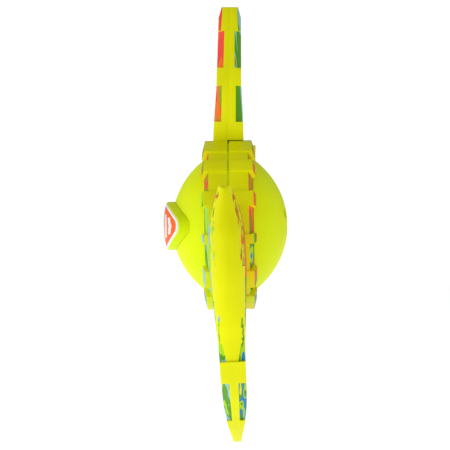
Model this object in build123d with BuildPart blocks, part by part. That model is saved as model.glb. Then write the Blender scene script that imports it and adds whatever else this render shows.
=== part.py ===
"""Flipping hand toy: two fins that hinge on the ring of a light-up orb.

The hub's centre is the origin, X is the axis that the fins and the orb turn about, and Z is up.
The upper fin belongs to the left ring (-X) and the lower fin to the right ring (+X).
"""
import math
import os

from build123d import *

os.makedirs("parts", exist_ok=True)

# ---- rings of the hub ----
ring_radius = 37.0
ring_outer_x = 11.2          # half the hub's width, at the widest band
ring_gap_half = 0.3          # the rings stop this far from the middle plane
ring_face_x = 9.9            # the sunk broad face of a ring
ring_lip_radius = ring_radius - 4.4    # where the raised rim of the broad face starts
ring_lip_step = 0.9          # the lip slopes in to the sunk face over this much radius
rim_taper = 1.1              # the bands lose this much half width towards the rim
rim_taper_length = 4.0
rib_half_width = 8.2         # half width of the rim between two bands
rib_sink = 0.7               # the rim between two bands lies this much lower
rib_flank_radius = ring_radius - 5.6   # the flank of a notch ends here on the broad face
# Notches of the rim, as start and end angles above the -Y direction
front_notches = [(47, 57), (22, 37), (-6, 12.5), (-31, -12), (-54, -45)]
back_notches = [(52, 74), (22, 37), (-6, 12.5), (-31, -12), (-54, -45)]
cord_bar_radius = 35.4       # the bar for a wrist cord bridges the first of them
cord_bar_x = 12.1            # and stands out to here
cord_bar_thick = 0.8
cord_bar_wide = 1.6
cord_bar_foot = 4            # degrees that each of its feet takes
cord_bar_bite = 2.0          # the feet reach this far into the ring

# ---- bearing of the rings on the orb ----
sleeve_radius = 24.0
sleeve_wall = 2.0
running_clearance = 0.06
washer_thick = 2 * ring_gap_half - 0.1
washer_inner = sleeve_radius + 1.0
washer_outer = ring_radius - rib_sink - 0.4

# ---- fins, drawn for the lower fin and turned half round for the upper one ----
fin_half_thick = 7.35        # at the heel, the thickest place
fin_ring_clearance = 0.4     # between a fin and the ring of the other fin
fin_root_radius = ring_radius - 3.5    # a fin's outline reaches this far into its ring
fin_tilt = 1.6               # the fins lean this many degrees towards +X
fin_tilt_pivot = 33.0
heel_tip = (-57.5, 17.0)
fin_tip = (1.5, -96.0)
outer_edge = [heel_tip, (-62.6, -2), (-61.5, -20), (-54, -42), (-39, -64.5), (-19.5, -83.5), fin_tip]
inner_edge = [fin_tip, (7.5, -84), (12.0, -68), (13.0, -54), (9.5, -41), (5.5, -32.5)]
heel_root = (-34.5, 6.5)
heel_tip_round = 5.0
rib_bevel = 4.5              # the flank of a rib of a fin's edge runs back this far
blade_tip_round = 1.4

# Half widths seen from the front, as (z of the lower fin, share of the heel's half thickness)
heel_widths = [(17, 0.22), (13.5, 0.42), (10.2, 0.57), (7, 0.71), (3.6, 0.83), (-0.5, 0.92), (-5, 0.97), (-16, 0.99)]
lower_widths = heel_widths + [(-31, 0.87), (-47, 0.72), (-54, 0.705), (-68, 0.687), (-76, 0.646), (-84, 0.497),
                              (-91, 0.313), (-97, 0.218)]
upper_widths = heel_widths + [(-34, 0.91), (-48, 0.83), (-60, 0.721), (-90.5, 0.667), (-96.3, 0.463), (-97, 0.463)]
# How far the rounded leaf of the heel runs back at these heights, down to where it ends
heel_depths = [(17, 2.0), (13.5, 4.5), (10.2, 6.0), (7, 7.2), (3.6, 8.0), (-0.5, 8.6), (-5, 9.0), (-16, 9.0)]
lower_leaf_depths = heel_depths + [(-23, 8.2), (-31, 6.5), (-39, 4.6), (-47, 3.0), (-54, 2.0)]
upper_leaf_depths = heel_depths + [(-22, 7.0), (-28, 5.0)]
# Ribs of a fin's edge between its bands: z nearer the hub, z nearer the tip, and half width at each
lower_ribs = [(-34, -54, 6.5, 2.2), (-63.5, -82, 1.9, 1.6)]
upper_ribs = [(-44.3, -59.6, 3.1, 3.0), (-67.3, -84, 2.4, 2.2), (-84, -95.9, 3.7, 3.2)]

# ---- hollows and screws of the fin shells ----
fin_wall = 4.2
hollow_depth = 3.0
hollow_tip_z = -78.0
fin_post_radius = 3.0
fin_posts = [(-50, -8), (-42, -44), (-10, -72), (4, -46)]
screw_shank = 1.2
screw_head = 2.1
screw_head_high = 1.4
screw_head_round = 0.4
cross_long = 2.2             # recess of a screw's head
cross_wide = 0.6
cross_deep = 0.8
screw_clearance = 0.05
loose_fit = 0.1              # more room round a shank that only passes through
fin_screw_depth = 2.2        # the head lies this deep in the outer face
fin_screw_bite = 3.4         # the shank reaches this far past the split
hole_spare = 0.3             # a blind hole is this much deeper than its screw

# ---- orb ----
dome_top_x = 25.3            # half the orb's width
dome_base_x = ring_face_x + 0.25
dome_base_radius = ring_lip_radius - 3.46
dome_wall = 2.0
dome_high = dome_top_x - dome_base_x
dome_radius = (dome_base_radius ** 2 + dome_high ** 2) / (2 * dome_high)
dome_centre_x = dome_radius - dome_top_x    # each dome's ball is centred this far on the other side
bore_radius = sleeve_radius - sleeve_wall

# ---- badge button on the left dome ----
badge_half_length = 25.6
badge_half_height = 10.6
badge_end_round = 4.5
badge_proud = 3.3            # the cap's top skin stands this far out of the dome
badge_skin = 1.6
badge_wall = 1.4
badge_clearance = 0.25
badge_flange = 1.3           # catches under the dome's edge, along the middle of the badge
flange_thick = 1.45
flange_long = 30.0
badge_back_x = -15.2
badge_sink = 0.9             # the pocket leaves this much behind the pressed badge
badge_travel = 1.0
inlay_thick = 0.4
inlay_gap = 0.02
rim_inset = 0.35
rim_wide = 0.95
motif_thick = 0.2
chevrons = [(7.5, 6.0), (12.5, 5.0), (17.5, 3.6)]    # place along the badge, half height
chevron_tip = 1.0            # how far its point, its ends and its inner corner lie from that place
chevron_end = 0.8
chevron_inner = 1.5
chevron_back = 3.0
stem_radius = 2.4
spring_wire = 0.7
spring_radius = 6.4
spring_turns = 7
spring_gap = 0.2

# ---- chassis and electronics inside the orb ----
chassis_x = -8.6
chassis_thick = 1.6
chassis_fit = 0.15
chassis_hole = 5.2
chassis_boss_circle = bore_radius - 3.93
chassis_boss_angles = [63.7, 116.3, 243.7, 296.3]
chassis_boss_radius = 2.7
chassis_boss_high = 13.4
chassis_screw_bite = 5.5
board_thick = 1.2
board_radius = bore_radius - 6.4
seat_gap = 0.05
post_radius = 2.6
post_angles = [90, 210, 330]
switch_side = 6.0
switch_high = 3.4
switch_button = 0.9
led_circle = board_radius - 2.4
led_angle = 30
led_side = 2.2
led_high = 1.1
chip_side = 5.0
chip_high = 1.2
chip_place_yz = (-6, 4.5)
can_radius = 1.9             # the motion switch, a small can lying across the board
can_long = 7.0
can_height = -6.5
can_round = 0.4
plunger_radius = 1.7         # of the tact switch
plunger_gap = 0.15           # what the stem leaves in front of it at full travel

# ---- battery bay in the right dome ----
cell_radius = 5.8
cell_high = 5.4
cell_count = 3
cell_clearance = 0.25
well_wall = 1.2
well_floor_x = 1.2
bay_floor_step = 0.9         # the bay's floor lies this far past the end of the bore
bay_floor_thick = 1.4
door_radius = 14.0
door_clearance = 0.15
door_thick = 1.15
door_hub_radius = 5.0
coin_slot_long = 9.0
coin_slot_wide = 1.8
coin_slot_deep = 0.9
door_screw_depth = 2.4       # the head's seat lies this deep under the dome's surface
door_screw_bite = 3.4
orb_screw_bite = 7.6
door_ledge = 1.4             # the door rests on this much of the dome
door_screw_angle = 150
door_screw_circle = cell_radius + cell_clearance + well_wall + 2.35
door_boss_radius = 2.9
door_boss_floor = 1.6        # what is left under the blind hole, and the hole's spare depth
contact_thick = 0.3
contact_high = 1.1           # the lower contact lifts the cells this far off the well's floor
contact_radius = 4.6
contact_tip_radius = 2.0
contact_pin_radius = 0.5
cell_gap = 0.02
cell_edge = 0.5
post_circle = cell_radius + cell_clearance + well_wall + post_radius + 0.75

far = 80.0                   # a cutter this long goes past the whole toy


def hub_plane(angle):
    """Plane through the X axis whose local y points out at this angle from +Y."""
    turn = math.radians(angle)
    return Plane(origin=(0, 0, 0), x_dir=(1, 0, 0), z_dir=(0, -math.sin(turn), math.cos(turn)))


def ball_x(radius, off_axis):
    """Distance from the middle plane of a dome's ball of this radius, at this distance off the axis."""
    return math.sqrt(radius ** 2 - off_axis ** 2) - dome_centre_x


def finish(piece, name):
    """Label a finished piece and write it."""
    piece.part.label = name
    export_step(piece.part, f"parts/{name}.step")


# ---- rings ----
def notch(side, start, length):
    """The stuff that one notch takes out of the rim of the ring at this side."""
    with BuildPart() as cutter:
        with BuildSketch(hub_plane(start)):
            with BuildLine():
                Polyline(
                    (0, ring_radius - rib_sink), (side * rib_half_width, ring_radius - rib_sink),
                    (side * (ring_face_x + 0.2), rib_flank_radius), (side * (ring_outer_x + 1), rib_flank_radius),
                    (side * (ring_outer_x + 1), ring_radius + 1), (0, ring_radius + 1), close=True,
                )
            make_face()
        revolve(axis=Axis.X, revolution_arc=length)
    return cutter.part


def ring(side):
    """One ring of the hub: a plain bearing with a notched rim."""
    with BuildPart() as body:
        with BuildSketch(Plane.XY):
            with BuildLine():
                Polyline(
                    (side * ring_gap_half, sleeve_radius + running_clearance),
                    (side * ring_gap_half, ring_radius),
                    (side * (ring_outer_x - rim_taper), ring_radius),
                    (side * ring_outer_x, ring_radius - rim_taper_length),
                    (side * ring_outer_x, ring_lip_radius),
                    (side * ring_face_x, ring_lip_radius - ring_lip_step),
                    (side * ring_face_x, sleeve_radius + running_clearance), close=True,
                )
            make_face()
        revolve(axis=Axis.X)
        for low, high in front_notches:
            add(notch(side, 180 - high, high - low), mode=Mode.SUBTRACT)
        for low, high in back_notches:
            add(notch(side, low, high - low), mode=Mode.SUBTRACT)
    return body.part


def cord_bar():
    """Thin bar on two feet that bridges one notch of the right ring at the back, for a wrist cord."""
    low, high = back_notches[0]
    with BuildPart() as bar:
        for start, arc, thick in (
            (low - cord_bar_foot, high - low + 2 * cord_bar_foot, cord_bar_thick),
            (low - cord_bar_foot, cord_bar_foot, cord_bar_bite),
            (high, cord_bar_foot, cord_bar_bite),
        ):
            with BuildSketch(hub_plane(start)) as section:
                with Locations((cord_bar_x - thick / 2, cord_bar_radius)):
                    Rectangle(thick, cord_bar_wide)
            revolve(section.sketch, axis=Axis.X, revolution_arc=arc)
    return bar.part


# ---- fins ----
def outline(turn):
    """Side outline of a fin, turned half round for the upper one (turn = -1)."""
    with BuildSketch() as side_view:
        with BuildLine():
            Spline([(turn * y, turn * z) for y, z in outer_edge])
            Spline([(turn * y, turn * z) for y, z in inner_edge])
            Line((turn * inner_edge[-1][0], turn * inner_edge[-1][1]), (turn * heel_root[0], turn * heel_root[1]))
            Line((turn * heel_root[0], turn * heel_root[1]), (turn * heel_tip[0], turn * heel_tip[1]))
        make_face()
        for corner, size in ((fin_tip, blade_tip_round), (heel_tip, heel_tip_round)):
            fillet(side_view.vertices().sort_by_distance((turn * corner[0], turn * corner[1]))[0], size)
    return side_view.sketch


def slab(turn, top, bottom):
    """Everything between two heights of the lower fin."""
    with BuildPart() as body:
        with Locations((0, 0, turn * (top + bottom) / 2)):
            Box(far, 2 * far, top - bottom)
    return body.part


def along_table(table, height):
    """Value at this height of a table of (z, value) rows."""
    rows = sorted(table)
    for (z_low, low), (z_high, high) in zip(rows, rows[1:]):
        if z_low <= height <= z_high:
            return low + (high - low) * (height - z_low) / (z_high - z_low)
    raise ValueError(f"no value at {height}")


def half_width(widths, height):
    """Half width of a fin at this height of the lower fin, as seen from the front."""
    return fin_half_thick * along_table(widths, height)


def edge_at(edge, height):
    """Where an edge of the outline lies across, at this height."""
    return along_table([(z, y) for y, z in edge], height)


def flank(turn, edge, inward, rib, side):
    """The bevel that a rib has on one side of one edge, between two bands."""
    top, bottom, top_half, bottom_half = rib
    start = Vector(side * top_half, turn * edge_at(edge, top), turn * top)
    end = Vector(side * bottom_half, turn * edge_at(edge, bottom), turn * bottom)
    along = (end - start).normalized()
    out = Vector(0, -turn * inward, 0)
    out = (out - along * out.dot(along)).normalized()
    across = out.cross(along)
    if across.X * side < 0:
        across = -across
    overrun = 3
    with BuildPart() as cutter:
        with BuildSketch(Plane(origin=start - along * overrun, x_dir=across, z_dir=along)) as section:
            depth = 1 if section.workplanes[0].y_dir.dot(out) > 0 else -1
            with BuildLine():
                Polyline(
                    (0, 0), (rib_bevel + 1, -depth * (rib_bevel + 1)), (rib_bevel + 1, depth * rib_bevel),
                    (0, depth * rib_bevel), close=True,
                )
            make_face()
        extrude(amount=(end - start).length + 2 * overrun)
    return cutter.part


def front_shape(turn, widths):
    """What a fin keeps as seen from the front: its half widths along its height."""
    corners = [(fin_half_thick * share, turn * z) for z, share in widths]
    with BuildPart() as body:
        with BuildSketch(Plane.XZ):
            with BuildLine():
                Polyline(*corners, *[(-x, z) for x, z in reversed(corners)], close=True)
            make_face()
        extrude(amount=far, both=True)
    return body.part


def leaf(turn, widths, depths):
    """What a heel keeps: half an ellipse towards its outer edge at each height, with straight sides behind."""
    with BuildPart() as body:
        for z, depth in depths:
            half = half_width(widths, z)
            back = turn * (edge_at(outer_edge, min(z, heel_tip[1])) + depth)
            with BuildSketch(Plane.XY.offset(turn * z)):
                with BuildLine():
                    EllipticalCenterArc((0, back), half, depth, start_angle=90 + 90 * turn, arc_size=180)
                    Polyline((half, back), (half, turn * far), (-half, turn * far), (-half, back))
                make_face()
        loft(ruled=True)
    return body.part


def fin(turn, widths, depths, ribs):
    """A whole fin, before it is split into its two shells and cut round the rings."""
    leaf_end = depths[-1][0]
    with BuildPart() as prism:
        with BuildSketch(Plane.YZ.offset(-fin_half_thick)) as side_view:
            add(outline(turn))
        extrude(side_view.sketch, amount=2 * fin_half_thick)
    with BuildPart() as body:
        add(prism.part)
        add(slab(turn, leaf_end, 2 * fin_tip[1]), mode=Mode.INTERSECT)
        add(front_shape(turn, widths), mode=Mode.INTERSECT)
        add(prism.part & leaf(turn, widths, depths))
        for rib in ribs:
            zone = slab(turn, rib[0], rib[1])
            for side in (-1, 1):
                for edge, inward in ((outer_edge, 1), (inner_edge, -1)):
                    add(flank(turn, edge, inward, rib, side) & zone, mode=Mode.SUBTRACT)
    return body.part


def tilted(shape, turn):
    """A fin's piece with the lean that its hinge lets it take."""
    return shape.rotate(Axis((0, 0, -turn * fin_tilt_pivot), (0, 1, 0)), -turn * fin_tilt)


def fin_hollow(turn, side):
    """The hollow of one shell of a fin, round its screw posts."""
    with BuildPart() as body:
        with BuildSketch(Plane.YZ) as section:
            with BuildLine():
                Polyline(*[(turn * y, turn * z) for y, z in outer_edge + inner_edge[1:] + [heel_root]], close=True)
            make_face()
            offset(amount=-fin_wall, kind=Kind.INTERSECTION, mode=Mode.REPLACE)
            Circle(ring_radius + fin_wall, mode=Mode.SUBTRACT)
            with Locations([(turn * y, turn * z) for y, z in fin_posts]):
                Circle(fin_post_radius, mode=Mode.SUBTRACT)
        extrude(section.sketch, amount=side * hollow_depth)
        add(slab(turn, far, hollow_tip_z), mode=Mode.INTERSECT)
    return body.part


def rods(places, radius, start, end):
    """Round bars along X at these places (y, z)."""
    with BuildPart() as body:
        with BuildSketch(Plane.YZ.offset(start)) as section:
            with Locations(places):
                Circle(radius)
        extrude(section.sketch, amount=end - start)
    return body.part


def screw(place, seat, tip):
    """A pan-head screw along X: its head sits on seat and its shank ends at tip."""
    with BuildPart() as body:
        add(rods([place], screw_head, seat, seat + screw_head_high))
        fillet(body.faces().sort_by(Axis.X)[-1].edges(), screw_head_round)
        with BuildSketch(Plane.YZ.offset(seat + screw_head_high)) as cross:
            with Locations(place):
                Rectangle(cross_long, cross_wide)
                Rectangle(cross_wide, cross_long)
        extrude(cross.sketch, amount=-cross_deep, mode=Mode.SUBTRACT)
        add(rods([place], screw_shank, tip, seat))
    return body.part


def fin_shell(turn, whole, widths, side, own_side):
    """One half of a fin; the half on its own ring's side is one moulding with that ring."""
    places = [(turn * y, turn * z) for y, z in fin_posts]
    with BuildPart() as shell:
        add(whole)
        split(bisect_by=Plane.YZ, keep=Keep.TOP if side > 0 else Keep.BOTTOM)
        add(fin_hollow(turn, side), mode=Mode.SUBTRACT)
        for place, (_, z) in zip(places, fin_posts):
            seat = half_width(widths, z) - fin_screw_depth
            hole = screw_shank + screw_clearance
            if side > 0:
                add(rods([place], hole, 0, seat), mode=Mode.SUBTRACT)
                add(rods([place], screw_head + 2 * loose_fit, seat, far), mode=Mode.SUBTRACT)
            else:
                add(rods([place], hole, -fin_screw_bite - hole_spare, 0), mode=Mode.SUBTRACT)
    with BuildPart() as body:
        add(tilted(shell.part, turn))
        inner = side * ring_gap_half if side == own_side else side * far
        add(rods([(0, 0)], ring_radius + fin_ring_clearance, -side * far, inner), mode=Mode.SUBTRACT)
        if side == own_side:
            add(rods([(0, 0)], fin_root_radius, -far, far), mode=Mode.SUBTRACT)
            add(ring(side))
    return body


def fin_screws(turn, widths):
    """The four screws of a fin."""
    with BuildPart() as body:
        for y, z in fin_posts:
            seat = half_width(widths, z) - fin_screw_depth
            add(tilted(screw((turn * y, turn * z), seat, -fin_screw_bite), turn))
    return body


lower_whole = fin(1, lower_widths, lower_leaf_depths, lower_ribs)
upper_whole = fin(-1, upper_widths, upper_leaf_depths, upper_ribs)

upper_fin_left = fin_shell(-1, upper_whole, upper_widths, -1, -1)
finish(upper_fin_left, "upper_fin_left")
upper_fin_right = fin_shell(-1, upper_whole, upper_widths, 1, -1)
finish(upper_fin_right, "upper_fin_right")
upper_fin_screws = fin_screws(-1, upper_widths)
finish(upper_fin_screws, "upper_fin_screws")

lower_fin_right = fin_shell(1, lower_whole, lower_widths, 1, 1)
with lower_fin_right:
    add(cord_bar())
finish(lower_fin_right, "lower_fin_right")
lower_fin_left = fin_shell(1, lower_whole, lower_widths, -1, 1)
finish(lower_fin_left, "lower_fin_left")
lower_fin_screws = fin_screws(1, lower_widths)
finish(lower_fin_screws, "lower_fin_screws")

with BuildPart() as ring_washer:
    with BuildSketch(Plane.YZ.offset(-washer_thick / 2)) as washer_face:
        Circle(washer_outer)
        Circle(washer_inner, mode=Mode.SUBTRACT)
    extrude(washer_face.sketch, amount=washer_thick)
finish(ring_washer, "ring_washer")


# ---- orb ----
def ball(side, radius):
    """The ball that a dome's surface is part of."""
    with BuildPart() as body:
        with Locations((-side * dome_centre_x, 0, 0)):
            Sphere(radius)
    return body.part


def ball_arc(side, radius, start, end):
    """Arc of a dome's section between two distances off the X axis; add it inside a BuildLine."""
    angles = [math.asin(off_axis / radius) for off_axis in (start, end)]
    angles.insert(1, sum(angles) / 2)
    return [(side * (radius * math.cos(a) - dome_centre_x), radius * math.sin(a)) for a in angles]


dome_inner = dome_radius - dome_wall


def ball_off_axis(radius, along):
    """How far off the X axis a dome's ball is, at this distance from the middle plane."""
    return math.sqrt(radius ** 2 - (along + dome_centre_x) ** 2)


def on_circle(radius, angles):
    """Places (y, z) on a circle round the X axis."""
    return [(radius * math.cos(math.radians(a)), radius * math.sin(math.radians(a))) for a in angles]


def badge_prism(grow, start, end):
    """The badge's outline, grown by this much, as a prism along X."""
    with BuildPart() as body:
        with BuildSketch(Plane.YZ.offset(start)) as section:
            with BuildLine():
                ThreePointArc((-badge_half_length, 0), (0, badge_half_height), (badge_half_length, 0))
                ThreePointArc((badge_half_length, 0), (0, -badge_half_height), (-badge_half_length, 0))
            make_face()
            fillet(section.vertices(), badge_end_round)
            if grow:
                offset(amount=grow, mode=Mode.REPLACE)
        extrude(section.sketch, amount=end - start)
    return body.part


pocket_x = badge_back_x + badge_travel + badge_sink
boss_hole_end = chassis_x - chassis_screw_bite
chassis_boss_places = on_circle(chassis_boss_circle, chassis_boss_angles)

with BuildPart() as orb_left_dome:
    with BuildSketch(Plane.XY) as left_section:
        with BuildLine():
            ThreePointArc(*ball_arc(-1, dome_radius, 0, dome_base_radius))
            Polyline(
                (-dome_base_x, dome_base_radius), (-dome_base_x, sleeve_radius), (0, sleeve_radius),
                (0, bore_radius), (-ball_x(dome_inner, bore_radius), bore_radius),
            )
            ThreePointArc(*ball_arc(-1, dome_inner, bore_radius, 0))
            Line((-ball_x(dome_inner, 0), 0), (-ball_x(dome_radius, 0), 0))
        make_face()
    revolve(left_section.sketch, axis=Axis.X)
    bosses = rods(chassis_boss_places, chassis_boss_radius, chassis_x, chassis_x - chassis_boss_high)
    add(bosses & ball(-1, dome_inner + dome_wall / 2))
    add(rods(chassis_boss_places, screw_shank + screw_clearance, boss_hole_end, chassis_x), mode=Mode.SUBTRACT)
    add(badge_prism(badge_clearance, -far, pocket_x), mode=Mode.SUBTRACT)
finish(orb_left_dome, "orb_left_dome")

door_ball = dome_radius - door_thick
ledge_ball = door_ball - seat_gap
well_radius = cell_radius + cell_clearance
bay_floor_x = ball_x(dome_inner, bore_radius) + bay_floor_step
bay_top_x = bay_floor_x + bay_floor_thick
post_places = on_circle(post_circle, post_angles)
door_screw_place = on_circle(door_screw_circle, [door_screw_angle])
door_screw_seat = ball_x(dome_radius, door_screw_circle) - door_screw_depth
door_screw_tip = bay_floor_x - door_screw_bite

seat_radius = door_radius + door_clearance
ledge_radius = door_radius - door_ledge
pin_hole = contact_pin_radius + 0.3

with BuildPart() as orb_right_dome:
    with BuildSketch(Plane.XY) as right_section:
        with BuildLine():
            ThreePointArc(*ball_arc(1, dome_radius, seat_radius, dome_base_radius))
            Polyline(
                (dome_base_x, dome_base_radius), (dome_base_x, sleeve_radius), (0, sleeve_radius),
                (0, bore_radius), (ball_x(dome_inner, bore_radius), bore_radius),
            )
            ThreePointArc(*ball_arc(1, dome_inner, bore_radius, ball_off_axis(dome_inner, bay_floor_x)))
            Polyline(
                (bay_floor_x, ball_off_axis(dome_inner, bay_floor_x)), (bay_floor_x, well_radius + well_wall),
                (well_floor_x, well_radius + well_wall), (well_floor_x, pin_hole),
                (well_floor_x + well_wall, pin_hole), (well_floor_x + well_wall, well_radius),
                (bay_top_x, well_radius), (bay_top_x, ball_off_axis(dome_inner, bay_top_x)),
            )
            ThreePointArc(*ball_arc(1, dome_inner, ball_off_axis(dome_inner, bay_top_x), ledge_radius))
            Line((ball_x(dome_inner, ledge_radius), ledge_radius), (ball_x(ledge_ball, ledge_radius), ledge_radius))
            ThreePointArc(*ball_arc(1, ledge_ball, ledge_radius, seat_radius))
            Line((ball_x(ledge_ball, seat_radius), seat_radius), (ball_x(dome_radius, seat_radius), seat_radius))
        make_face()
    revolve(right_section.sketch, axis=Axis.X)
    add(rods(door_screw_place, chassis_boss_radius, door_screw_tip - door_boss_floor, bay_floor_x))
    add(rods(post_places, screw_shank + loose_fit, bay_floor_x, bay_top_x), mode=Mode.SUBTRACT)
    add(rods(door_screw_place, screw_shank + screw_clearance, door_screw_tip - hole_spare, bay_top_x),
        mode=Mode.SUBTRACT)
finish(orb_right_dome, "orb_right_dome")

cup_x = well_floor_x + well_wall
cell_start_x = cup_x + contact_high
contact_top_x = cell_start_x + cell_count * cell_high
with BuildPart() as battery_door:
    with BuildSketch(Plane.XY) as door_section:
        with BuildLine():
            ThreePointArc(*ball_arc(1, dome_radius, 0, door_radius))
            Line((ball_x(dome_radius, door_radius), door_radius), (ball_x(door_ball, door_radius), door_radius))
            ThreePointArc(*ball_arc(1, door_ball, door_radius, door_hub_radius))
            Polyline(
                (ball_x(door_ball, door_hub_radius), door_hub_radius),
                (contact_top_x + contact_thick + seat_gap, door_hub_radius),
                (contact_top_x + contact_thick + seat_gap, 0), (ball_x(dome_radius, 0), 0),
            )
        make_face()
    revolve(door_section.sketch, axis=Axis.X)
    add(rods(door_screw_place, door_boss_radius, bay_top_x + seat_gap, door_screw_seat + screw_head_high / 2))
    add(rods(door_screw_place, screw_shank + loose_fit, 0, far), mode=Mode.SUBTRACT)
    add(rods(door_screw_place, screw_head + 1.5 * loose_fit, door_screw_seat, far), mode=Mode.SUBTRACT)
    with BuildSketch(Plane.YZ.offset(dome_top_x - coin_slot_deep)) as coin_slot:
        SlotOverall(coin_slot_long, coin_slot_wide)
    extrude(coin_slot.sketch, amount=far, mode=Mode.SUBTRACT)
finish(battery_door, "battery_door")

with BuildPart() as battery_door_screw:
    add(screw(door_screw_place[0], door_screw_seat, door_screw_tip))
finish(battery_door_screw, "battery_door_screw")

# ---- battery ----
with BuildPart() as button_cells:
    for index in range(cell_count):
        with BuildSketch(Plane.YZ.offset(cell_start_x + index * cell_high)) as cell_face:
            Circle(cell_radius)
        cell = extrude(cell_face.sketch, amount=cell_high - cell_gap, mode=Mode.PRIVATE)
        add(cell.chamfer(cell_edge, None, cell.edges().filter_by(GeomType.CIRCLE).group_by(Axis.X)[-1]))
finish(button_cells, "button_cells")

board_x = chassis_x + chassis_thick + seat_gap
board_top_x = board_x + board_thick
with BuildPart() as battery_contacts:
    with BuildSketch(Plane.XY) as cone_section:
        with BuildLine():
            Polyline(
                (cup_x, 0), (cup_x, contact_radius), (cup_x + contact_thick, contact_radius),
                (cell_start_x - cell_gap, contact_tip_radius), (cell_start_x - cell_gap, 0), close=True,
            )
        make_face()
    revolve(cone_section.sketch, axis=Axis.X)
    add(rods([(0, 0)], contact_pin_radius, board_top_x, cup_x))
    add(rods([(0, 0)], contact_radius, contact_top_x + cell_gap, contact_top_x + contact_thick))
finish(battery_contacts, "battery_contacts")

# ---- chassis and electronics ----
orb_screw_tip = bay_floor_x - orb_screw_bite
with BuildPart() as orb_chassis:
    add(rods([(0, 0)], bore_radius - chassis_fit, chassis_x, chassis_x + chassis_thick))
    add(rods(post_places, post_radius, chassis_x, bay_floor_x - seat_gap))
    add(rods([(0, 0)], chassis_hole, chassis_x, chassis_x + chassis_thick), mode=Mode.SUBTRACT)
    add(rods(post_places, screw_shank + screw_clearance, orb_screw_tip - hole_spare, far), mode=Mode.SUBTRACT)
    add(rods(chassis_boss_places, screw_shank + loose_fit, chassis_x, chassis_x + chassis_thick),
        mode=Mode.SUBTRACT)
finish(orb_chassis, "orb_chassis")

with BuildPart() as chassis_screws:
    for place in chassis_boss_places:
        add(screw(place, chassis_x + chassis_thick, boss_hole_end + hole_spare))
finish(chassis_screws, "chassis_screws")

with BuildPart() as orb_screws:
    for place in post_places:
        add(screw(place, bay_top_x, orb_screw_tip))
finish(orb_screws, "orb_screws")

with BuildPart() as circuit_board:
    add(rods([(0, 0)], board_radius, board_x, board_top_x))
    add(rods(post_places, post_radius + chassis_fit, board_x, board_top_x), mode=Mode.SUBTRACT)
finish(circuit_board, "circuit_board")

with BuildPart() as leds:
    with BuildSketch(Plane.YZ.offset(board_top_x)) as led_places:
        with PolarLocations(led_circle, len(post_angles), start_angle=led_angle):
            Rectangle(led_side, led_side)
    extrude(led_places.sketch, amount=led_high)
finish(leds, "leds")

with BuildPart() as controller_chip:
    with BuildSketch(Plane.YZ.offset(board_top_x)) as chip_place:
        with Locations(chip_place_yz):
            Rectangle(chip_side, chip_side)
    extrude(chip_place.sketch, amount=chip_high)
finish(controller_chip, "controller_chip")

with BuildPart() as motion_switch:
    with BuildSketch(Plane.XZ.offset(-can_long / 2)) as can:
        with Locations((board_top_x + can_radius + seat_gap, can_height)):
            Circle(can_radius)
    extrude(can.sketch, amount=can_long)
    fillet(motion_switch.edges().filter_by(GeomType.CIRCLE), can_round)
finish(motion_switch, "motion_switch")

switch_tip_x = board_x - switch_high - switch_button
with BuildPart() as tact_switch:
    with BuildSketch(Plane.YZ.offset(board_x)) as switch_face:
        Rectangle(switch_side, switch_side)
    extrude(switch_face.sketch, amount=-switch_high)
    add(rods([(0, 0)], plunger_radius, switch_tip_x, board_x - switch_high))
finish(tact_switch, "tact_switch")

# ---- badge button ----
badge_ball = dome_radius + badge_proud
inlay_ball = badge_ball + inlay_thick
stem_end_x = switch_tip_x - badge_travel - plunger_gap
stem_root_x = -ball_x(badge_ball - badge_skin / 2, 0)

with BuildPart() as badge_cap:
    add(badge_prism(0, -far, badge_back_x) & ball(-1, badge_ball))
    add(badge_prism(-badge_wall, -far, 0) & ball(-1, badge_ball - badge_skin), mode=Mode.SUBTRACT)
    flange = badge_prism(badge_flange, -far, badge_back_x) - badge_prism(-badge_wall, -far, 0)
    flange = flange & (ball(-1, dome_inner - chassis_fit) - ball(-1, dome_inner - chassis_fit - flange_thick))
    with BuildPart(mode=Mode.PRIVATE) as middle:
        Box(far, flange_long, far)
    add(flange & middle.part)
    add(rods([(0, 0)], stem_radius, stem_end_x, stem_root_x))
finish(badge_cap, "badge_cap")

inlay = ball(-1, inlay_ball) - ball(-1, badge_ball)
with BuildPart() as badge_rim:
    add((badge_prism(-rim_inset, -far, 0) - badge_prism(-rim_inset - rim_wide, -far, 0)) & inlay)
finish(badge_rim, "badge_rim")

with BuildPart() as badge_face:
    add(badge_prism(-rim_inset - rim_wide - inlay_gap, -far, 0) & inlay)
finish(badge_face, "badge_face")

with BuildPart() as badge_bars:
    with BuildSketch(Plane.YZ.offset(-far)) as bars:
        for turn in (-1, 1):
            for y, high in chevrons:
                with BuildLine():
                    Polyline(
                        (turn * (y - chevron_inner), 0), (turn * (y - chevron_back), high),
                        (turn * (y - chevron_end), high), (turn * (y + chevron_tip), 0),
                        (turn * (y - chevron_end), -high), (turn * (y - chevron_back), -high), close=True,
                    )
                make_face()
    extrude(bars.sketch, amount=far)
    add(ball(-1, inlay_ball + motif_thick) - ball(-1, inlay_ball), mode=Mode.INTERSECT)
finish(badge_bars, "badge_bars")

with BuildPart() as badge_spring:
    spring_start = chassis_x - spring_wire / 2 - seat_gap
    spring_end = -ball_x(badge_ball - badge_skin, spring_radius) + spring_wire / 2 + spring_gap
    with BuildLine() as coil:
        Helix(
            pitch=(spring_start - spring_end) / spring_turns, height=spring_start - spring_end,
            radius=spring_radius, center=(spring_start, 0, 0), direction=(-1, 0, 0),
        )
    with BuildSketch(Plane(origin=coil.line @ 0, z_dir=coil.line % 0)) as wire:
        Circle(spring_wire / 2)
    sweep(wire.sketch, path=coil.line)
finish(badge_spring, "badge_spring")
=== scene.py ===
import math

import bpy
from mathutils import Matrix, Vector


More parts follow.
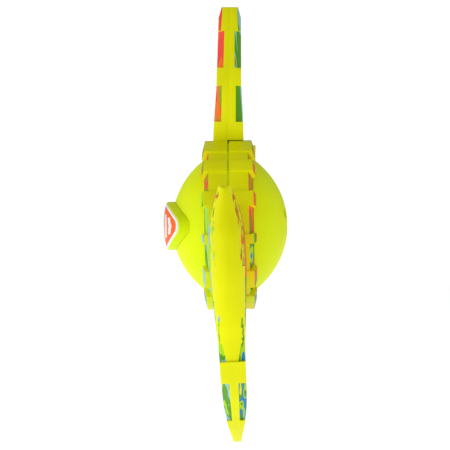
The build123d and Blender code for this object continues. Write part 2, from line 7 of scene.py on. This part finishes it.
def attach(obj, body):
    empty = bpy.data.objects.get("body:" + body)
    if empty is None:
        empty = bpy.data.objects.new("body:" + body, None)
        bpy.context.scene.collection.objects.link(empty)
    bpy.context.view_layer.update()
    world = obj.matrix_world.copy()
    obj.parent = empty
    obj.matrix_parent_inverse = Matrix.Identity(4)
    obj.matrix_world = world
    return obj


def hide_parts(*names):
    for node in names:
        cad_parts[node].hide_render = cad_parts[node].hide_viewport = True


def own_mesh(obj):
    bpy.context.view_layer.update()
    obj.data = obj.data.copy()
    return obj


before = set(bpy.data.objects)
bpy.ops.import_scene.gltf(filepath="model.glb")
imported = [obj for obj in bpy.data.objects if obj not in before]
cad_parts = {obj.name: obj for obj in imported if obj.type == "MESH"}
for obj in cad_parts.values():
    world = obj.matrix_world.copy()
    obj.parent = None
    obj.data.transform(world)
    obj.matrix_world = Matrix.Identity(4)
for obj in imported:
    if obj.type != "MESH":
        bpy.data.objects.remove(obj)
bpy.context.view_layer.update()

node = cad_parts
bpy.ops.object.select_all(action="DESELECT")

# The toy is held up in front of a pale sweep and seen edge on, level with its hub.
# A long lens from arm's length keeps the near heel of the lower fin only a little larger.
view_distance = 0.44
view_azimuth = math.radians(0.8)
view_roll = math.radians(-1.0)
view_offset = -0.0021
bpy.ops.object.camera_add()
camera = bpy.context.object
camera.data.lens = 80
camera.data.sensor_width = 36
camera.data.clip_start = 0.01
level = Matrix.Rotation(view_azimuth, 4, "Z") @ Matrix.Rotation(math.radians(90), 4, "X")
backed_off = Matrix.Translation((view_offset, 0, view_distance))
camera.matrix_world = level @ backed_off @ Matrix.Rotation(view_roll, 4, "Z")
bpy.context.scene.camera = camera
bpy.context.scene.view_settings.view_transform = "Standard"

# A round sheet of white card lies well below the toy, which hangs in the air as in a hand.
# It glows a little, as a lit light table does, so that it fades into the white behind.
card_radius = 1.6
card_height = -0.125
card_white = (0.9, 0.9, 0.9, 1)
card_glow = 0.62
bpy.ops.mesh.primitive_circle_add(vertices=96, radius=card_radius, fill_type="NGON",
                                  location=(0, 0, card_height))
floor = bpy.context.object
floor.name = "white_floor"
card = bpy.data.materials.new("white card")
card.use_nodes = True
shader = card.node_tree.nodes["Principled BSDF"]
shader.inputs["Base Color"].default_value = card_white
shader.inputs["Roughness"].default_value = 0.9
shader.inputs["Emission Color"].default_value = (1, 1, 1, 1)
shader.inputs["Emission Strength"].default_value = card_glow
floor.data.materials.append(card)

# Soft boxes: a strong one on the left, a weaker one on the right, a low one and a high one in
# front, all in a white light tent. The side that faces the camera gets the least light.
# Each box has its name, its place, its side in metres and its power in watts.
soft_boxes = [
    ("left_box", (-0.8, -0.06, -0.05), 0.9, 4.1),
    ("right_box", (0.8, 0.1, 0.0), 0.8, 0.75),
    ("low_box", (-0.2, -0.45, -0.11), 0.3, 0.05),
    ("high_box", (-0.1, -0.8, 0.5), 0.4, 0.6),
]
tent_light = 0.42
backdrop_light = 1.05
for name, place, side, power in soft_boxes:
    bpy.ops.object.light_add(type="AREA", location=place)
    box = bpy.context.object
    box.name = name
    box.data.size = side
    box.data.energy = power
    box.rotation_euler = (-Vector(place)).to_track_quat("-Z", "Y").to_euler()
world = bpy.data.worlds.new("light tent")
bpy.context.scene.world = world
world.use_nodes = True
sky = world.node_tree
tent = sky.nodes["Background"]
backdrop = sky.nodes.new("ShaderNodeBackground")
for light, strength in ((tent, tent_light), (backdrop, backdrop_light)):
    light.inputs["Color"].default_value = (1, 1, 1, 1)
    light.inputs["Strength"].default_value = strength
ray = sky.nodes.new("ShaderNodeLightPath")
choice = sky.nodes.new("ShaderNodeMixShader")
sky.links.new(ray.outputs["Is Camera Ray"], choice.inputs[0])
sky.links.new(tent.outputs[0], choice.inputs[1])
sky.links.new(backdrop.outputs[0], choice.inputs[2])
sky.links.new(choice.outputs[0], sky.nodes["World Output"].inputs["Surface"])

# The fins are injection moulded in neon yellow, two shells to a fin, screwed together.
# Their broad faces and the flanks of their ribs carry a transfer print in bright patches, with a
# few darker patches of painted shade, their edges stay plain, and one shell of each fin is a
# single moulding with its ring of the hub.
shells = [("upper_fin", "upper_fin_left"), ("upper_fin", "upper_fin_right"),
          ("lower_fin", "lower_fin_left"), ("lower_fin", "lower_fin_right")]

# The print is laid by where a face lies on its fin: the hub's ribs and rim, the leaf along the
# heel, whose front takes only a dusting, and the tips. Lengths are in metres.
hub_radius = 0.0371
notch_floor = 0.0312
rib_half = 0.0079
rim_half = 0.0102
leaf_start = 0.036
leaf_end = 0.0541
leaf_front = 0.05
dusted_reach = 0.013

# It is also laid by how far a face turns to the side: 1 is a broad face and 0 is an edge.
turned_flat = 0.94
turned_out = 0.9
turned_far = 0.75
turned_well = 0.6
turned_half = 0.5
turned_some = 0.3
turned_little = 0.25

# How much ink the dusted faces hold, and how far the rim's colours run ahead of the fin's. The
# step leaves the hub's flanks on the darker painted shade colours and puts the rim on the bright
# ones.
dusted = 0.45
rim_ahead_of_flank_shade = 0.1

# The dark orange-brown and the dark yellow-green below are painted shade. They are the print's
# orange and lime, darkened as if in the shade of the hub's recessed flanks.
red = (0.88, 0.07, 0.045)
orange = (0.95, 0.17, 0.01)
amber_painted_shade = (0.62, 0.26, 0.004)
olive_painted_shade = (0.30, 0.36, 0.002)
lime = (0.42, 0.72, 0.005)
green = (0.10, 0.35, 0.01)
sky_blue = (0.30, 0.60, 0.62)
blue = (0.012, 0.24, 0.58)
pale = (0.78, 0.80, 0.05)
left_print_and_shade = [(0.0, red), (0.19, orange), (0.25, amber_painted_shade), (0.30, red), (0.34, olive_painted_shade),
              (0.43, lime), (0.55, sky_blue), (0.62, lime), (0.70, green), (0.76, sky_blue),
              (0.84, lime), (0.93, blue)]
right_print_and_shade = [(0.0, sky_blue), (0.11, green), (0.24, sky_blue), (0.28, olive_painted_shade), (0.34, green),
               (0.38, amber_painted_shade), (0.54, orange), (0.63, red), (0.67, green), (0.74, lime),
               (0.78, blue), (0.84, green), (0.91, pale), (0.95, blue)]


def add_node(tree, kind, **sockets):
    """A shader node with some of its sockets set by name."""
    made = tree.nodes.new("ShaderNode" + kind)
    for name, value in sockets.items():
        made.inputs[name.replace("_", " ")].default_value = value
    return made


def add_maths(tree, operation, *values):
    """A maths node on two or three values, each a number or an output socket."""
    made = tree.nodes.new("ShaderNodeMath")
    made.operation = operation
    for socket, value in zip(made.inputs, values):
        if isinstance(value, (int, float)):
            socket.default_value = value
        else:
            tree.links.new(value, socket)
    return made.outputs[0]


def add_swing(tree, noise, swing, middle=0.0):
    """A noise that runs from 0 to 1, made to swing so far in all about a middle."""
    return add_maths(tree, "MULTIPLY_ADD", noise, swing, middle - swing / 2)


def add_ramp(tree, value, stops, steps=False):
    """A colour ramp over (place, colour) stops."""
    made = tree.nodes.new("ShaderNodeValToRGB")
    made.color_ramp.interpolation = "CONSTANT" if steps else "LINEAR"
    points = made.color_ramp.elements
    while len(points) < len(stops):
        points.new(0.5)
    for point, (place, colour) in zip(points, stops):
        point.position = place
        point.color = (*colour, 1)
    tree.links.new(value, made.inputs[0])
    return made.outputs["Color"]


def add_mix(tree, factor, first, second):
    """The first colour where the factor is 0 and the second where it is 1."""
    made = tree.nodes.new("ShaderNodeMix")
    made.data_type = "RGBA"
    tree.links.new(factor, made.inputs["Factor"])
    tree.links.new(first, made.inputs[6])
    tree.links.new(second, made.inputs[7])
    return made.outputs[2]


def moulded(name, dark, light, grain, rough, bump, metal=0.0, shine=0.5):
    """A moulded or machined surface: its tint drifts, its gloss varies and its skin is uneven."""
    specks_to_a_grain = 16
    gloss_swing = 0.12
    skin_depth = 0.0003
    material = bpy.data.materials.new(name)
    material.use_nodes = True
    tree = material.node_tree
    shader = tree.nodes["Principled BSDF"]
    shader.inputs["Metallic"].default_value = metal
    shader.inputs["Specular IOR Level"].default_value = shine
    place = tree.nodes.new("ShaderNodeTexCoord").outputs["Object"]
    drift = add_node(tree, "TexNoise", Scale=grain, Detail=3.0)
    speck = add_node(tree, "TexNoise", Scale=grain * specks_to_a_grain, Detail=4.0)
    for texture in (drift, speck):
        tree.links.new(place, texture.inputs["Vector"])
    tint = add_ramp(tree, drift.outputs["Fac"], [(0.3, dark), (0.7, light)])
    tree.links.new(tint, shader.inputs["Base Color"])
    gloss = add_swing(tree, speck.outputs["Fac"], gloss_swing, rough)
    tree.links.new(gloss, shader.inputs["Roughness"])
    skin = add_node(tree, "Bump", Strength=bump, Distance=skin_depth)
    tree.links.new(speck.outputs["Fac"], skin.inputs["Height"])
    tree.links.new(skin.outputs["Normal"], shader.inputs["Normal"])
    return material


def printed_yellow_and_shade():
    """Neon yellow plastic with the patch print where the mesh says that it is printed.

    The colours run down the toy from one end of the print's scale to the other, and a
    stretched noise shifts them into patches, whose edges a fine spray breaks up. A few of the
    colours are painted shade, which the rim's step leaves on the hub's flanks.
    """
    patch_stretch = (2.4, 0.7, 0.3)
    scale_per_metre = -4.4
    patch_swing = 0.9
    spray_swing = 0.03
    dust_swing = 1.6
    enough_ink = 0.5
    material = moulded("printed neon yellow and painted shade", (0.81, 0.82, 0.0), (0.91, 0.92, 0.0),
                       grain=40, rough=0.45, bump=0.05, shine=0.1)
    tree = material.node_tree
    shader = tree.nodes["Principled BSDF"]
    plain = shader.inputs["Base Color"].links[0].from_socket
    where = tree.nodes.new("ShaderNodeTexCoord")
    streaks = tree.nodes.new("ShaderNodeMapping")
    streaks.inputs["Scale"].default_value = patch_stretch
    tree.links.new(where.outputs["Object"], streaks.inputs["Vector"])
    patches = add_node(tree, "TexNoise", Scale=110.0, Detail=1.5, Roughness=0.45, Distortion=0.4)
    spray = add_node(tree, "TexNoise", Scale=700.0, Detail=3.0)
    for texture in (patches, spray):
        tree.links.new(streaks.outputs[0], texture.inputs["Vector"])
    place = tree.nodes.new("ShaderNodeSeparateXYZ")
    tree.links.new(where.outputs["Object"], place.inputs[0])
    facing = tree.nodes.new("ShaderNodeSeparateXYZ")
    tree.links.new(where.outputs["Normal"], facing.inputs[0])
    rim = tree.nodes.new("ShaderNodeAttribute")
    rim.attribute_name = "rim"
    ink = tree.nodes.new("ShaderNodeAttribute")
    ink.attribute_name = "printed"
    drift = add_maths(tree, "MULTIPLY", place.outputs["Z"], scale_per_metre)
    patch = add_swing(tree, patches.outputs["Fac"], patch_swing, 0.5)
    edge = add_swing(tree, spray.outputs["Fac"], spray_swing)
    spread = add_maths(tree, "ADD", add_maths(tree, "ADD", drift, patch), edge)
    # Rim faces step ahead on the print's scale, so the flanks beside them keep the darker painted
    # shade colour of a pair and the rim takes the bright one.
    value = add_maths(tree, "ADD", spread, rim.outputs["Fac"])
    on_right = add_maths(tree, "GREATER_THAN", facing.outputs["X"], 0.0)
    side = add_mix(tree, on_right, add_ramp(tree, value, left_print_and_shade, True),
                   add_ramp(tree, value, right_print_and_shade, True))
    dust = add_swing(tree, spray.outputs["Fac"], dust_swing)
    inked = add_maths(tree, "ADD", ink.outputs["Fac"], dust)
    covered = add_maths(tree, "GREATER_THAN", inked, enough_ink)
    tree.links.new(add_mix(tree, covered, plain, side), shader.inputs["Base Color"])
    return material


def mark_print(mesh):
    """Marks the broad faces and the flanks of ribs and notches as printed, the leaf as dusted."""
    ink = mesh.attributes.new("printed", "FLOAT", "FACE")
    rim = mesh.attributes.new("rim", "FLOAT", "FACE")
    for face, mark, shift in zip(mesh.polygons, ink.data, rim.data):
        across = abs(face.normal.x)
        x, y, z = face.center
        off_axis = math.hypot(y, z)
        if off_axis <= hub_radius:
            on_rib = abs(x) > rib_half
            flank = turned_little < across < turned_out and off_axis > notch_floor
            mark.value = float(on_rib and (across > turned_out or flank))
            # The rim's faces step ahead on the print's scale, which leaves the flanks on the
            # painted shade colours.
            shift.value = rim_ahead_of_flank_shade if abs(x) > rim_half and across > turned_half else 0.0
        elif across > turned_flat:
            mark.value = 1.0
        elif abs(z) < leaf_start:
            near_front = abs(y) > leaf_front and abs(z) < dusted_reach
            mark.value = dusted if across > turned_far and near_front else 0.0
        elif abs(z) < leaf_end:
            mark.value = float(turned_well < across < turned_far)
        else:
            mark.value = float(across > turned_some)


def merged_copy(name):
    """A copy of a CAD piece with its triangles joined up, selected and ready to be worked on."""
    merge_reach = 0.00001
    flat_angle = math.radians(1.0)
    piece = node[name].copy()
    piece.data = node[name].data.copy()
    piece.name = name + "_worked"
    for key in [key for key in piece.keys() if key.startswith("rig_")]:
        del piece[key]
    piece.parent = None
    bpy.context.scene.collection.objects.link(piece)
    bpy.ops.object.select_all(action="DESELECT")
    bpy.context.view_layer.objects.active = piece
    piece.select_set(True)
    bpy.ops.object.mode_set(mode="EDIT")
    bpy.ops.mesh.select_all(action="SELECT")
    bpy.ops.mesh.remove_doubles(threshold=merge_reach)
    bpy.ops.mesh.dissolve_limited(angle_limit=flat_angle)
    bpy.ops.object.mode_set(mode="OBJECT")
    return piece


def finish_copy(piece, name, body, material):
    """Gives a worked copy its finish and puts it in the place of its CAD piece."""
    crease_angle = math.radians(30)
    bpy.ops.object.shade_smooth_by_angle(angle=crease_angle)
    piece.data.materials.clear()
    piece.data.materials.append(material)
    piece.select_set(False)
    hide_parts(name)
    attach(piece, body)


fin_yellow = printed_yellow_and_shade()
worn_width = 0.0004
worn_angle = math.radians(35)
for body, name in shells:
    shell = merged_copy(name)
    mark_print(shell.data)
    bevel = shell.modifiers.new("worn edges", "BEVEL")
    bevel.width = worn_width
    bevel.segments = 2
    bevel.limit_method = "ANGLE"
    bevel.angle_limit = worn_angle
    bevel.use_clamp_overlap = True
    bpy.ops.object.modifier_apply(modifier=bevel.name)
    finish_copy(shell, name, body, fin_yellow)

# The orb's domes, its battery door and the badge cap are moulded in the same neon yellow,
# unprinted. Screws in the battery bay hold the right dome to the posts of the chassis, which is
# itself screwed to the left dome.
dome_yellow = moulded("neon yellow dome", (0.74, 0.88, 0.0), (0.82, 0.95, 0.0),
                      grain=30, rough=0.5, bump=0.03, shine=0.08)


def dress(material, *names):
    """Gives carried CAD pieces their finish."""
    for name in names:
        node[name].data.materials.clear()
        node[name].data.materials.append(material)


dress(dome_yellow, "orb_left_dome", "orb_right_dome", "battery_door", "badge_cap")

# The badge is an orange moulded face inside a white rim, both laid on top of the cap and bonded
# to it. White chevrons are printed on the face in thick ink.
badge_white = moulded("badge white", (0.86, 0.86, 0.84), (0.93, 0.93, 0.92),
                      grain=60, rough=0.3, bump=0.02)
badge_orange = moulded("badge orange", (0.98, 0.12, 0.0), (1.0, 0.15, 0.004),
                       grain=60, rough=0.35, bump=0.02, shine=0.15)
dress(badge_white, "badge_rim", "badge_bars")
dress(badge_orange, "badge_face")

# Screws are turned steel with a dull plating, the button cells and the motion switch are bright
# nickel cans, and the contacts are pressed from sprung brass. All have a fine grain.
steel = moulded("plated steel", (0.50, 0.51, 0.53), (0.68, 0.69, 0.71),
                grain=120, rough=0.28, bump=0.08, metal=1.0)
nickel = moulded("nickel plate", (0.66, 0.65, 0.62), (0.80, 0.79, 0.76),
                 grain=90, rough=0.2, bump=0.04, metal=1.0)
brass = moulded("sprung brass", (0.62, 0.45, 0.18), (0.78, 0.60, 0.28),
                grain=90, rough=0.25, bump=0.05, metal=1.0)
dress(steel, "upper_fin_screws", "lower_fin_screws", "chassis_screws", "orb_screws",
      "battery_door_screw")
dress(nickel, "button_cells", "motion_switch")
dress(brass, "battery_contacts")

# The badge's return spring is a plain coil of steel wire. Its inner end rests on the chassis, and
# the badge squeezes it by its own travel.
spring = merged_copy("badge_spring")
finish_copy(spring, "badge_spring", "orb", steel)
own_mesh(spring)

# The chassis is a plain white moulding, a disc with posts that carries the board. The thin
# washer that lies between the two rings of the hub is dyed like the domes.
chassis_white = moulded("chassis white", (0.72, 0.72, 0.70), (0.82, 0.82, 0.80),
                        grain=70, rough=0.5, bump=0.1)
dress(chassis_white, "orb_chassis")
dress(dome_yellow, "ring_washer")

# The board is glass laminate under green solder mask; the chip and the switch are black mouldings
# and the lamps are clear lenses on white bodies. All are soldered to the board.
laminate = moulded("solder mask", (0.008, 0.10, 0.03), (0.02, 0.20, 0.07),
                   grain=220, rough=0.35, bump=0.06)
black = moulded("black moulding", (0.012, 0.012, 0.013), (0.03, 0.03, 0.032),
                grain=150, rough=0.5, bump=0.1)
lens = moulded("lamp lens", (0.78, 0.78, 0.70), (0.90, 0.90, 0.84),
               grain=200, rough=0.15, bump=0.02)
dress(laminate, "circuit_board")
dress(black, "controller_chip", "tact_switch")
dress(lens, "leds")
